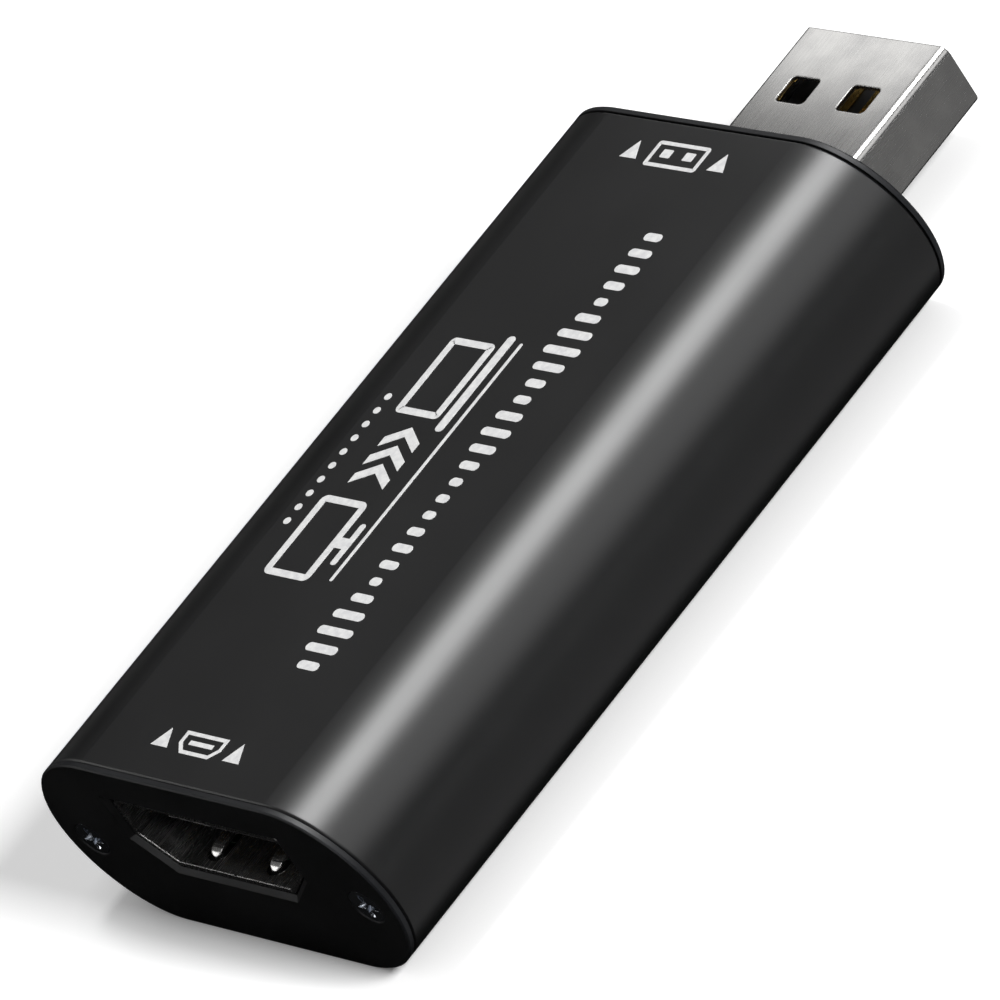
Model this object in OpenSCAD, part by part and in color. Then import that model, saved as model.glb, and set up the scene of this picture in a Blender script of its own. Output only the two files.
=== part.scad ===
// Video capture stick. A metal sleeve holds a capture board between two moulded end plates.
// A video socket opens through the input plate and a USB plug stands out of the output plate.
// Millimetres. X is the width, Y runs from the socket end to the plug tip, Z is up from the
// flat underside. The origin lies under the middle of the whole length.

/* [Housing] */
// Width of the sleeve
body_w = 28.8; // [28:0.2:34]
// Height of the sleeve
body_h = 13.0; // [12.6:0.1:15]
// Length over both end plates
body_len = 53.0; // [50:0.5:70]
// Wall of the sleeve
wall = 1.2; // [1:0.05:1.3]
// Chamfer on the sleeve's cut ends
sleeve_chamfer = 0.2; // [0.1:0.05:0.4]
// Thickness of each board rail
rail_t = 0.8; // [0.6:0.1:1]
// Reach of the rails over the board's edges
rail_grip = 0.8; // [0.5:0.1:1]

/* [End plates] */
// Thickness of the flange that covers the sleeve's end
flange_t = 0.4; // [0.4:0.1:1]
// Depth of the spigot inside the sleeve
spigot_len = 2.0; // [1.6:0.1:2.6]
// Thickness of the plate inside its rim
plate_t = 1.4; // [1.2:0.1:1.8]
// Thickness of the spigot's rim and of the collar around an opening
rim_t = 0.9; // [0.7:0.1:1.1]
// Chamfer on the flange's outer edge
flange_chamfer = 0.1; // [0.05:0.05:0.3]
// Gap between the spigot and the sleeve
spigot_gap = 0.1; // [0.05:0.05:0.15]
// Bevel around the socket opening
opening_bevel = 0.3; // [0.2:0.05:0.45]
// Gap between an opening and the connector shell in it
opening_gap = 0.1; // [0.05:0.05:0.2]

/* [Screws] */
// Distance of a screw's axis from the sleeve's round side
screw_inset = 2.5; // [2.4:0.05:2.7]
// Height of a screw's axis below mid height
screw_drop = 0.5; // [0:0.1:0.6]
// Shank diameter
screw_d = 1.6; // [1.4:0.1:1.6]
// Diameter of the countersunk head
screw_head_d = 2.6; // [2.4:0.1:2.8]
// Length of a screw
screw_len = 6.0; // [4.5:0.5:9]
// Wall of the screw channels in the sleeve
channel_wall = 0.8; // [0.6:0.1:0.8]
// Gap around a screw in its plate
screw_gap = 0.1; // [0.05:0.05:0.1]
// Gap between a shank and its channel, which has no modelled thread
thread_gap = 0.03; // [0.02:0.01:0.05]

/* [Circuit board] */
// Thickness of the board
board_t = 1.2; // [0.8:0.1:1.4]
// Gap between the board and the rails above and beside it
board_gap = 0.1; // [0.05:0.05:0.2]
// Gap between the board's ends and the end plates
board_end_gap = 0.2; // [0.1:0.1:0.5]

/* [Video socket] */
// Width of the mouth
socket_w = 14.0; // [13.6:0.1:14.4]
// Height of the mouth
socket_h = 4.55; // [4.4:0.05:4.8]
// Height of the mouth's straight sides
socket_side_h = 2.6; // [2.2:0.1:3]
// Width of the mouth's floor
socket_floor_w = 9.8; // [9.2:0.1:10.4]
// Length of the shell
socket_len = 12.0; // [11:0.25:14]
// Sheet thickness of the shell
socket_sheet = 0.3; // [0.2:0.05:0.35]
// Inner bend radius of the shell
socket_bend = 0.4; // [0.2:0.05:0.6]
// Setback of the mouth behind the plate's face
socket_recess = 0.3; // [0.1:0.1:0.8]
// Height of the mouth's middle above mid height
socket_rise = 1.2; // [1:0.05:1.4]
// Width of the tongue
tongue_w = 11.2; // [10.6:0.1:11.6]
// Thickness of the tongue
tongue_t = 1.0; // [0.8:0.1:1.2]
// Setback of the tongue behind the mouth
tongue_setback = 1.5; // [1:0.1:2.5]
// Length of the block that carries the tongue
block_len = 4.0; // [3:0.25:5]
// Contacts on top of the tongue, one more than underneath
upper_contacts = 10; // [10:1:10]
// Spacing of the contacts on each side
contact_pitch = 1.0; // [0.9:0.05:1.05]
// Width of a contact
contact_w = 0.34; // [0.26:0.02:0.4]
// Sheet thickness of a contact
contact_t = 0.15; // [0.1:0.01:0.18]
// Length of each spring finger
spring_len = 3.2; // [2.8:0.1:4]
// Width of each spring finger
spring_w = 0.9; // [0.7:0.1:1.4]
// Distance between the two spring fingers of a wall
spring_pitch = 5.1; // [4.4:0.1:5.6]
// Rise of a spring finger into the mouth
spring_rise = 0.45; // [0.2:0.05:0.5]
// Distance of a spring's free end behind the mouth
spring_setback = 0.9; // [0.6:0.1:1.2]

/* [USB plug] */
// Width of the shell
plug_w = 12.0; // [11.8:0.05:12.1]
// Height of the shell
plug_h = 4.5; // [4.4:0.05:4.6]
// Length that stands out of the output plate
plug_out = 12.7; // [11.5:0.1:14]
// Length held inside the body
plug_in = 6.5; // [6:0.1:8]
// Sheet thickness of the shell
plug_sheet = 0.3; // [0.25:0.05:0.35]
// Corner radius of the shell
plug_corner = 0.6; // [0.5:0.05:0.8]
// Height of the plug's middle below mid height
plug_drop = 1.45; // [1.2:0.05:1.6]
// Width of a latch window
window_w = 2.4; // [2:0.1:2.6]
// Length of a latch window
window_len = 2.1; // [1.8:0.1:2.5]
// Distance between the two latch windows of a wall
window_pitch = 5.1; // [4.4:0.1:5.6]
// Distance of a latch window behind the tip
window_setback = 3.8; // [3.4:0.1:5.4]
// Width of a plug contact
pin_w = 1.0; // [0.8:0.1:1.2]
// Sheet thickness of a plug contact
pin_t = 0.2; // [0.15:0.05:0.25]
// Setback of the plug's insulator behind the tip
plug_setback = 0.6; // [0.3:0.1:1]

/* [Board parts] */
// Side of the capture chip
chip_w = 7.0; // [6:0.5:8]
// Height of the capture chip
chip_h = 1.4; // [1:0.1:1.6]
// Leads on each side of the capture chip
chip_side_leads = 12; // [10:1:12]
// Spacing of the capture chip's leads
chip_lead_pitch = 0.5; // [0.4:0.05:0.5]
// Width of the memory chip
memory_w = 3.9; // [3:0.1:4]
// Length of the memory chip
memory_len = 4.9; // [4.4:0.1:5]
// Height of the memory chip
memory_h = 1.5; // [1:0.1:1.7]
// Width of the voltage regulator
regulator_w = 1.6; // [1.3:0.1:1.8]
// Length of the voltage regulator
regulator_len = 2.9; // [2.6:0.1:3.1]
// Height of the voltage regulator
regulator_h = 1.1; // [0.9:0.1:1.3]
// Width of the crystal
crystal_w = 2.5; // [2:0.1:2.6]
// Length of the crystal
crystal_len = 3.2; // [2.5:0.1:3.4]
// Height of the crystal
crystal_h = 0.8; // [0.6:0.1:1]
// Length of the capacitors and resistors
passive_len = 1.6; // [1:0.1:1.7]
// Width of the capacitors and resistors
passive_w = 0.8; // [0.5:0.05:0.9]
// Height of the capacitors
capacitor_h = 0.8; // [0.5:0.05:0.9]
// Height of the resistors
resistor_h = 0.45; // [0.3:0.05:0.5]
// Length of the ferrite beads
ferrite_len = 2.0; // [1.6:0.1:2.2]
// Width of the ferrite beads
ferrite_w = 1.25; // [0.8:0.05:1.3]
// Height of the ferrite beads
ferrite_h = 0.9; // [0.7:0.05:1.1]

/* [Hidden] */
$fn = 96;

// Reach of a cutting shape past the face that it opens
cut = 1;
// Gap that keeps an insulator clear of the shell around it
shell_fit = 0.02;

// Main stations along the length and the height
total_len = body_len + plug_out;
y_in = -total_len / 2;
y_out = y_in + body_len;
y_tip = total_len / 2;
mid_z = body_h / 2;
sleeve_y0 = y_in + flange_t;
sleeve_y1 = y_out - flange_t;
plate_depth = flange_t + spigot_len;
rail_y0 = y_in + plate_depth;
rail_y1 = y_out - plate_depth;

// Screws and their channels
screw_x = body_w / 2 - screw_inset;
screw_z = mid_z - screw_drop;
shank_r = screw_d / 2;
head_r = screw_head_d / 2;
head_sink = 0.05;
screw_tip_len = 0.6;
recess_w = 0.42;
recess_depth = 0.6;
recess_top_r = 0.85;
recess_foot_r = 0.3;
channel_r = shank_r + thread_gap + channel_wall;

// Video socket
socket_z = mid_z + socket_rise;
socket_y0 = y_in + socket_recess;
socket_y1 = socket_y0 + socket_len;
socket_floor_z = socket_z - socket_h / 2;
socket_ceiling_z = socket_z + socket_h / 2;
socket_seam = 0.12;
corner_steps = 5;
slant = atan2((socket_w - socket_floor_w) / 2, socket_h - socket_side_h);
leg_w = 1.4;
leg_front = 5.0;
leg_pitch = 5.4;
leg_out = 0.6;
leg_gap = 0.15;
leg_stations = [socket_y0 + leg_front, socket_y0 + leg_front + leg_pitch];
spring_slit = 0.3;
spring_steps = 14;
spring_crest = 0.74;
spring_y0 = socket_y0 + spring_setback;

// Tongue and contacts of the socket
tongue_y0 = socket_y0 + tongue_setback;
tongue_top_z = socket_z + tongue_t / 2;
tongue_low_z = socket_z - tongue_t / 2;
tongue_lead = 0.25;
contact_proud = 0.05;
contact_setback = 0.5;
contact_y0 = tongue_y0 + contact_setback;
tail_foot = 0.8;
tail_gap = 0.3;
tail_step = 0.6;
lower_tail_y = socket_y1 + tail_gap;
upper_tail_y = lower_tail_y + tail_step;

// Board
board_z1 = socket_floor_z - socket_sheet;
board_z0 = board_z1 - board_t;
board_w = 2 * (screw_x - channel_r);
board_y0 = rail_y0 + board_end_gap;
board_y1 = rail_y1 - board_end_gap;
board_corner = 0.8;

// USB plug
plug_z = mid_z - plug_drop;
plug_y0 = y_out - plug_in;
plug_seam = 0.12;
plug_block_len = 3.4;
window_corner = 0.35;
wing_w = 1.6;
wing_len = 2.0;
wing_setback = 0.5;
notch_gap = 0.4;
notch_side_gap = 0.15;
notch_y0 = plug_y0 - notch_gap;
pin_proud = 0.05;
pin_setback = 1.0;
pin_tail = 1.6;
pin_z = plug_z + pin_proud - pin_t;
pin_inner_x = 1.0;
pin_outer_x = 3.5;
pin_stations = [-pin_outer_x, -pin_inner_x, pin_inner_x, pin_outer_x];

// Leads: standoff under a chip, sheet, reach beside the body and foot on the board
chip_standoff = 0.1;
lead_t = 0.13;
lead_shoulder = 0.25;
lead_slope = 0.2;
lead_foot = 0.55;
lead_reach = lead_shoulder + lead_slope + lead_foot;
chip_lead_w = 0.22;
memory_lead_w = 0.42;
memory_lead_pitch = 1.27;
memory_side_leads = 4;
regulator_front_leads = 3;
regulator_back_leads = 2;
regulator_lead_w = 0.4;
regulator_lead_pitch = 0.95;
chip_edge = 0.12;

// Places of a row of equal steps around a middle
function spread(count, pitch) = [for (i = [0 : count - 1]) (i - (count - 1) / 2) * pitch];

// Field of the board's parts, between the tails of the socket and of the plug
field_y0 = upper_tail_y + tail_foot;
field_y1 = notch_y0 - pin_tail;
field_mid = (field_y0 + field_y1) / 2;
board_edge = board_w / 2;
terminal_share = 0.22;

// Capture chip in the middle of the width
chip_shift = 4.0;
chip_y = field_mid - chip_shift;

// Memory chip, regulator and crystal, set in from the board's edges
memory_margin = 3.92;
memory_shift = 7.0;
memory_x = -(board_edge - memory_margin - memory_w / 2 - lead_reach);
memory_y = field_mid + memory_shift;
regulator_margin = 1.57;
regulator_shift = 9.2;
regulator_x = -(board_edge - regulator_margin - regulator_w / 2 - lead_reach);
regulator_y = field_mid - regulator_shift;
crystal_margin = 2.12;
crystal_shift = 9.0;
crystal_x = board_edge - crystal_margin - crystal_w / 2;
crystal_y = field_mid - crystal_shift;
crystal_lid_h = 0.45;
crystal_lid_inset = 0.15;

// Surge arrays and resistors behind the socket
surge_pitch = 4.4;
surge_shift = 1.2;
surge_y = field_y0 + surge_shift;
surge_arrays_count = 2;
surge_size = [2.5, 1.0, 0.5];
resistors = 4;
resistor_pitch = 2.2;
resistor_shift = 3.3;
resistor_y = field_y0 + resistor_shift;

// Capacitors beside the capture chip and in a row behind it
edge_margin = 2.57;
edge_x = board_edge - edge_margin - passive_len / 2;
side_capacitors = 3;
side_pitch = 1.8;
side_shift = 3.4;
side_stations = [for (y = spread(side_capacitors, side_pitch)) field_mid - side_shift + y];
row_capacitors = 5;
row_pitch = 2.5;
row_shift = 2.4;
row_y = field_mid + row_shift;

// Ferrite beads, each with a capacitor beside it, and resistors in front of the plug
ferrites = 2;
ferrite_gap = 1.5;
ferrite_pitch = 2.7;
ferrite_shift = 6.85;
ferrite_x = edge_x - passive_len / 2 - ferrite_gap - ferrite_len / 2;
ferrite_stations = [for (y = spread(ferrites, ferrite_pitch)) field_mid + ferrite_shift + y];
series_resistors = 2;
series_pitch = 2.0;
series_shift = 1.6;
series_y = field_y1 - series_shift;

// Extrudes an outline drawn in X and Z from y0 to y1
module along_y(y0, y1) {
    translate([0, y1, 0])
        rotate([90, 0, 0])
            linear_extrude(y1 - y0)
                children();
}

// Extrudes an outline drawn in Y and Z over a width centred on x
module across_x(x, width) {
    translate([x - width / 2, 0, 0])
        rotate([90, 0, 90])
            linear_extrude(width)
                children();
}

// Outline with a flat top and underside and fully round sides, at mid height
module stadium(w, h) {
    translate([0, mid_z]) {
        square([w - h, h], center = true);
        for (side = [-1, 1])
            translate([side * (w - h) / 2, 0])
                circle(d = h);
    }
}

// Rectangle with round corners, centred
module rounded_rect(w, h, r) {
    square([w - 2 * r, h], center = true);
    square([w, h - 2 * r], center = true);
    for (sx = [-1, 1], sy = [-1, 1])
        translate([sx * (w / 2 - r), sy * (h / 2 - r)])
            circle(r);
}

// Half outline of a bar's edge, as radius and station, with a chamfer at either end
function edge_profile(r, y0, y1, c0, c1) = concat(
    c0 > 0 ? [[r - c0, y0], [r, y0 + c0]] : [[r, y0]],
    c1 > 0 ? [[r, y1 - c1], [r - c1, y1]] : [[r, y1]]
);

function reversed(list) = [for (i = [len(list) - 1 : -1 : 0]) list[i]];

// Bar of the sleeve's full outline from y0 to y1, with its end edges chamfered
module full_bar(y0, y1, c0, c1) {
    edge = edge_profile(body_h / 2, y0, y1, c0, c1);
    flat_w = body_w - body_h;
    for (side = [-1, 1])
        translate([side * flat_w / 2, 0, mid_z])
            rotate([-90, 0, 0])
                rotate([0, 0, -90 * side])
                    rotate_extrude(angle = 180)
                        polygon(concat([[0, y0]], edge, [[0, y1]]));
    across_x(0, flat_w)
        polygon(concat(
            [for (p = edge) [p[1], mid_z + p[0]]],
            [for (p = reversed(edge)) [p[1], mid_z - p[0]]]
        ));
}

// Corners of the socket mouth grown by g, counter-clockwise from the upper right
function socket_corners(g) = let (
    x = socket_w / 2 + g,
    side_z = socket_h / 2 - socket_side_h - g * tan(slant / 2),
    floor_x = socket_floor_w / 2 + g * tan(45 - slant / 2),
    z = socket_h / 2 + g
) [[x, z], [-x, z], [-x, side_z], [-floor_x, -z], [floor_x, -z], [x, side_z]];

// Directions that each corner's bend starts and ends at
corner_turns = [
    [0, 90], [90, 180], [180, 180 + slant], [180 + slant, 270], [270, 360 - slant],
    [360 - slant, 360]
];

// Points of the socket's outline grown by g, with the bends of the folded sheet
function socket_points(g) = let (centres = socket_corners(-socket_bend)) [
    for (i = [0 : len(centres) - 1], k = [0 : corner_steps])
        let (a = corner_turns[i][0] + (corner_turns[i][1] - corner_turns[i][0]) * k / corner_steps)
            centres[i] + (socket_bend + g) * [cos(a), sin(a)]
];

module socket_outline(g) {
    translate([0, socket_z])
        polygon(socket_points(g));
}

// Sharp-cornered outline of the plate's opening, clear of the shell by a gap
module socket_frame(g) {
    translate([0, socket_z])
        polygon(socket_corners(g));
}

// Tapered cut that bevels all sides of an opening grown by g in the input plate
module mouth_bevel(g) {
    slant_reach = socket_w / 2 * cos(slant) - (socket_h / 2 - socket_side_h) * sin(slant);
    sides = [
        [0, socket_w / 2], [90, socket_h / 2], [180, socket_w / 2], [180 + slant, slant_reach],
        [270, socket_h / 2], [360 - slant, slant_reach]
    ];
    translate([0, y_in, socket_z])
        intersection_for (side = sides)
            rotate([0, -side[0], 0])
                linear_extrude(2 * body_w, center = true)
                    polygon([
                        [-body_w, -cut],
                        [side[1] + g + opening_bevel + cut, -cut],
                        [side[1] + g - cut, opening_bevel + cut],
                        [-body_w, opening_bevel + cut]
                    ]);
}

module plug_outline(g) {
    translate([0, plug_z])
        rounded_rect(plug_w + 2 * g, plug_h + 2 * g, plug_corner + g);
}

// Repeats its children at both screw axes
module at_screws() {
    for (side = [-1, 1])
        translate([side * screw_x, screw_z])
            children();
}

// Moves its children to the board's top
module on_board(x, y) {
    translate([x, y, board_z1])
        children();
}

module sleeve() {
    color("#1d1d1f") {
        difference() {
            full_bar(sleeve_y0, sleeve_y1, sleeve_chamfer, sleeve_chamfer);
            along_y(sleeve_y0 - cut, sleeve_y1 + cut)
                stadium(body_w - 2 * wall, body_h - 2 * wall);
        }
        along_y(rail_y0, rail_y1)
            sleeve_ribs();
    }
}

// Screw channels and board rails, rooted in the sleeve's wall
module sleeve_ribs() {
    rail_x = board_w / 2 - rail_grip;
    rail_reach = body_w / 2 - rail_x;
    difference() {
        intersection() {
            stadium(body_w - wall, body_h - wall);
            union() {
                at_screws()
                    circle(channel_r);
                for (side = [0, 1], z = [board_z0 - rail_t, board_z1 + board_gap])
                    mirror([side, 0])
                        translate([rail_x, z])
                            square([rail_reach, rail_t]);
            }
        }
        at_screws()
            circle(shank_r + thread_gap);
        for (side = [0, 1])
            mirror([side, 0])
                translate([rail_x - cut, board_z0])
                    square([rail_grip + board_gap + cut, board_t + board_gap]);
    }
}

// Plate with its face at y = 0, its spigot towards +Y and a collar of the child's outline
module plate_blank() {
    spigot_w = body_w - 2 * wall - 2 * spigot_gap;
    spigot_h = body_h - 2 * wall - 2 * spigot_gap;
    difference() {
        union() {
            full_bar(0, flange_t, flange_chamfer, 0);
            along_y(flange_t, plate_depth)
                stadium(spigot_w, spigot_h);
        }
        along_y(plate_t, plate_depth + cut)
            difference() {
                stadium(spigot_w - 2 * rim_t, spigot_h - 2 * rim_t);
                at_screws()
                    circle(shank_r + screw_gap + rim_t);
                children();
            }
        along_y(-cut, plate_depth + cut)
            at_screws()
                circle(shank_r + screw_gap);
        for (side = [-1, 1])
            translate([side * screw_x, -cut, screw_z])
                rotate([-90, 0, 0])
                    cylinder(h = cut + head_r - shank_r, r1 = head_r + cut, r2 = shank_r);
    }
}

module input_end_plate() {
    gap = socket_sheet + opening_gap;
    color("#111215")
        difference() {
            translate([0, y_in, 0])
                plate_blank()
                    socket_frame(gap + rim_t);
            along_y(y_in - cut, y_in + plate_depth + cut)
                socket_frame(gap);
            mouth_bevel(gap);
        }
}

module output_end_plate() {
    color("#111215")
        difference() {
            translate([0, y_out, 0])
                mirror([0, 1, 0])
                    plate_blank()
                        plug_outline(opening_gap + rim_t);
            along_y(y_out - plate_depth - cut, y_out + cut)
                plug_outline(opening_gap);
        }
}

// Countersunk screw with its head at z = 0 and its tip towards +Z
module screw() {
    difference() {
        rotate_extrude()
            polygon([
                [0, head_sink],
                [head_r - head_sink - thread_gap, head_sink],
                [shank_r - thread_gap, head_r - shank_r],
                [shank_r, head_r - shank_r + thread_gap],
                [shank_r, screw_len - screw_tip_len],
                [shank_r / 2, screw_len],
                [0, screw_len]
            ]);
        intersection() {
            translate([0, 0, head_sink - cut])
                cylinder(h = cut + recess_depth, r1 = recess_top_r + cut, r2 = recess_foot_r);
            for (turn = [0, 90])
                rotate([0, 0, turn])
                    translate([-recess_w / 2, -head_r, head_sink - cut])
                        cube([recess_w, 2 * head_r, cut + recess_depth]);
        }
    }
}

module input_plate_screws() {
    color("#b9bcc2")
        for (side = [-1, 1])
            translate([side * screw_x, y_in, screw_z])
                rotate([-90, 0, 0])
                    screw();
}

module output_plate_screws() {
    color("#b9bcc2")
        for (side = [-1, 1])
            translate([side * screw_x, y_out, screw_z])
                rotate([90, 0, 0])
                    screw();
}

// Board with the plug's notch and the slots of the socket's legs
module circuit_board() {
    notch_w = plug_w + 2 * notch_side_gap;
    color("#17402c")
        difference() {
            translate([0, (board_y0 + board_y1) / 2, board_z0])
                linear_extrude(board_t)
                    rounded_rect(board_w, board_y1 - board_y0, board_corner);
            translate([-notch_w / 2, notch_y0, board_z0 - cut])
                cube([notch_w, board_y1 - notch_y0 + cut, board_t + 2 * cut]);
            socket_legs(leg_gap);
        }
}

// Legs folded down from the socket's sides, grown by a gap where they pass the board
module socket_legs(gap) {
    leg_z0 = board_z0 - leg_out - gap;
    leg_z1 = socket_ceiling_z - socket_side_h / 2;
    for (side = [0, 1], y = leg_stations)
        mirror([side, 0, 0])
            translate([socket_w / 2 - gap, y - leg_w / 2 - gap, leg_z0])
                cube([socket_sheet + 2 * gap, leg_w + 2 * gap, leg_z1 - leg_z0]);
}

// Height of a spring finger over its wall at a share of its length from the free end
function spring_height(share) = spring_rise * sin(180 * pow(share, spring_crest));

// Outline of a spring finger at x from above, grown by g and round at its free end
module spring_plan(x, g) {
    half = spring_w / 2;
    translate([x, spring_y0 + half])
        circle(half + g);
    translate([x - half - g, spring_y0 + half])
        square([2 * (half + g), spring_len - half]);
}

// Spring finger on the floor at x, with its foot in the wall
module floor_spring(x) {
    upper = [
        for (k = [0 : spring_steps])
            let (share = k / spring_steps)
                [spring_y0 + share * spring_len, socket_floor_z + spring_height(share)]
    ];
    intersection() {
        across_x(x, spring_w + cut)
            polygon(concat(upper, [for (p = reversed(upper)) p - [0, socket_sheet]]));
        translate([0, 0, socket_floor_z - socket_sheet - cut])
            linear_extrude(spring_rise + socket_sheet + 2 * cut)
                spring_plan(x, 0);
    }
}

// Opening around a spring finger
module floor_spring_slot(x) {
    translate([0, 0, socket_floor_z - socket_sheet - cut])
        linear_extrude(socket_sheet + 2 * cut)
            spring_plan(x, spring_slit);
}

// Turns a feature of the socket's floor into one of its ceiling
module on_ceiling() {
    translate([0, 0, 2 * socket_z])
        mirror([0, 0, 1])
            children();
}

module socket_shell() {
    spring_x = spring_pitch / 2;
    color("#c9cbd0") {
        difference() {
            along_y(socket_y0, socket_y1)
                difference() {
                    socket_outline(socket_sheet);
                    socket_outline(0);
                    translate([-socket_seam / 2, socket_floor_z - socket_sheet - cut])
                        square([socket_seam, socket_sheet + 2 * cut]);
                }
            for (x = [-spring_x, spring_x]) {
                floor_spring_slot(x);
                on_ceiling()
                    floor_spring_slot(x);
            }
        }
        for (x = [-spring_x, spring_x]) {
            floor_spring(x);
            on_ceiling()
                floor_spring(x);
        }
        socket_legs(0);
    }
}

// Contact on top of the tongue, with its tail down to the board
module upper_contact(x) {
    z = tongue_top_z + contact_proud - contact_t;
    socket_contact(x, z, upper_tail_y);
}

// Contact under the tongue, with its tail down to the board
module lower_contact(x) {
    z = tongue_low_z - contact_proud;
    socket_contact(x, z, lower_tail_y);
}

module socket_contact(x, z, tail_y) {
    across_x(x, contact_w)
        polygon([
            [contact_y0, z],
            [tail_y - contact_t, z],
            [tail_y - contact_t, board_z1],
            [tail_y + tail_foot, board_z1],
            [tail_y + tail_foot, board_z1 + contact_t],
            [tail_y, board_z1 + contact_t],
            [tail_y, z + contact_t],
            [contact_y0, z + contact_t]
        ]);
}

module socket_upper_contacts() {
    color("#d3ad4c")
        for (x = spread(upper_contacts, contact_pitch))
            upper_contact(x);
}

module socket_lower_contacts() {
    color("#d3ad4c")
        for (x = spread(upper_contacts - 1, contact_pitch))
            lower_contact(x);
}

// Block and tongue of the socket, grooved for the contacts
module socket_insulator() {
    color("#1a1a1c")
        difference() {
            union() {
                along_y(socket_y1 - block_len, socket_y1)
                    socket_outline(-shell_fit);
                across_x(0, tongue_w)
                    polygon([
                        [socket_y1 - block_len / 2, tongue_low_z],
                        [socket_y1 - block_len / 2, tongue_top_z],
                        [tongue_y0 + tongue_lead, tongue_top_z],
                        [tongue_y0, tongue_top_z - tongue_lead],
                        [tongue_y0, tongue_low_z + tongue_lead],
                        [tongue_y0 + tongue_lead, tongue_low_z]
                    ]);
            }
            socket_upper_contacts();
            socket_lower_contacts();
        }
}

// Folded shell with a seam underneath, latch windows and two solder wings
module plug_shell() {
    window_y = y_tip - window_setback - window_len / 2;
    color("#d5d7db") {
        difference() {
            along_y(plug_y0, y_tip)
                difference() {
                    plug_outline(0);
                    plug_outline(-plug_sheet);
                    translate([-plug_seam / 2, plug_z - plug_h / 2 - cut])
                        square([plug_seam, plug_sheet + 2 * cut]);
                }
            for (side = [-1, 1])
                translate([side * window_pitch / 2, window_y, plug_z])
                    linear_extrude(plug_h + 2 * cut, center = true)
                        rounded_rect(window_w, window_len, window_corner);
        }
        for (side = [0, 1])
            mirror([side, 0, 0])
                translate([plug_w / 2 - plug_sheet, plug_y0 + wing_setback, board_z1])
                    cube([plug_sheet + wing_w, wing_len, plug_sheet]);
    }
}

// Contact strip along the plug's insulator, with a tail on the board
module plug_pin(x) {
    across_x(x, pin_w)
        polygon([
            [notch_y0 - pin_tail, board_z1],
            [notch_y0, board_z1],
            [plug_y0, pin_z],
            [y_tip - pin_setback, pin_z],
            [y_tip - pin_setback, pin_z + pin_t],
            [plug_y0, pin_z + pin_t],
            [notch_y0, board_z1 + pin_t],
            [notch_y0 - pin_tail, board_z1 + pin_t]
        ]);
}

module plug_contacts() {
    color("#d3ad4c")
        for (x = pin_stations)
            plug_pin(x);
}

// Block at the back of the plug and the half-height bed of its contacts
module plug_insulator() {
    color("#1a1a1c")
        difference() {
            union() {
                along_y(plug_y0, plug_y0 + plug_block_len)
                    plug_outline(-plug_sheet - shell_fit);
                along_y(plug_y0 + plug_block_len / 2, y_tip - plug_setback)
                    intersection() {
                        plug_outline(-plug_sheet - shell_fit);
                        translate([-plug_w / 2, plug_z - plug_h])
                            square([plug_w, plug_h]);
                    }
            }
            plug_contacts();
        }
}

// Moulded chip body with a bevelled upper edge
module chip_body(w, len, h) {
    intersection() {
        across_x(0, w)
            polygon([
                [-len / 2, chip_standoff],
                [len / 2, chip_standoff],
                [len / 2, h - chip_edge],
                [len / 2 - chip_edge, h],
                [-len / 2 + chip_edge, h],
                [-len / 2, h - chip_edge]
            ]);
        along_y(-len, len)
            polygon([
                [-w / 2, chip_standoff],
                [w / 2, chip_standoff],
                [w / 2, h - chip_edge],
                [w / 2 - chip_edge, h],
                [-w / 2 + chip_edge, h],
                [-w / 2, h - chip_edge]
            ]);
    }
}

// Bent lead against the +Y side of a chip, from its mid height down to the board
module gull_lead(x, side_y, h, w) {
    z = chip_standoff + (h - chip_standoff) / 2;
    knee = side_y + lead_shoulder;
    ankle = knee + lead_slope;
    across_x(x, w)
        polygon([
            [side_y, z],
            [knee, z],
            [ankle, 0],
            [ankle + lead_foot, 0],
            [ankle + lead_foot, lead_t],
            [ankle + lead_t, lead_t],
            [knee + lead_t, z + lead_t],
            [side_y, z + lead_t]
        ]);
}

// Row of leads along the +Y side of a chip
module lead_row(count, pitch, side_y, h, w) {
    for (x = spread(count, pitch))
        gull_lead(x, side_y, h, w);
}

module capture_chip() {
    color("#232426")
        on_board(0, chip_y)
            chip_body(chip_w, chip_w, chip_h);
}

module capture_chip_leads() {
    color("#c3c6c9")
        on_board(0, chip_y)
            for (turn = [0 : 90 : 270])
                rotate([0, 0, turn])
                    lead_row(chip_side_leads, chip_lead_pitch, chip_w / 2, chip_h, chip_lead_w);
}

module memory_chip() {
    color("#232426")
        on_board(memory_x, memory_y)
            chip_body(memory_w, memory_len, memory_h);
}

module memory_chip_leads() {
    color("#c3c6c9")
        on_board(memory_x, memory_y)
            for (turn = [90, 270])
                rotate([0, 0, turn])
                    lead_row(memory_side_leads, memory_lead_pitch, memory_w / 2, memory_h, memory_lead_w);
}

module voltage_regulator() {
    color("#232426")
        on_board(regulator_x, regulator_y)
            chip_body(regulator_w, regulator_len, regulator_h);
}

// Three leads on one side and two on the other, at the outer places
module voltage_regulator_leads() {
    side_x = regulator_w / 2;
    outer_pitch = 2 * regulator_lead_pitch;
    color("#c3c6c9")
        on_board(regulator_x, regulator_y) {
            rotate([0, 0, 90])
                lead_row(regulator_front_leads, regulator_lead_pitch, side_x, regulator_h, regulator_lead_w);
            rotate([0, 0, 270])
                lead_row(regulator_back_leads, outer_pitch, side_x, regulator_h, regulator_lead_w);
        }
}

module crystal_base() {
    color("#4a4338")
        on_board(crystal_x, crystal_y)
            linear_extrude(crystal_h - crystal_lid_h)
                square([crystal_w, crystal_len], center = true);
}

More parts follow.
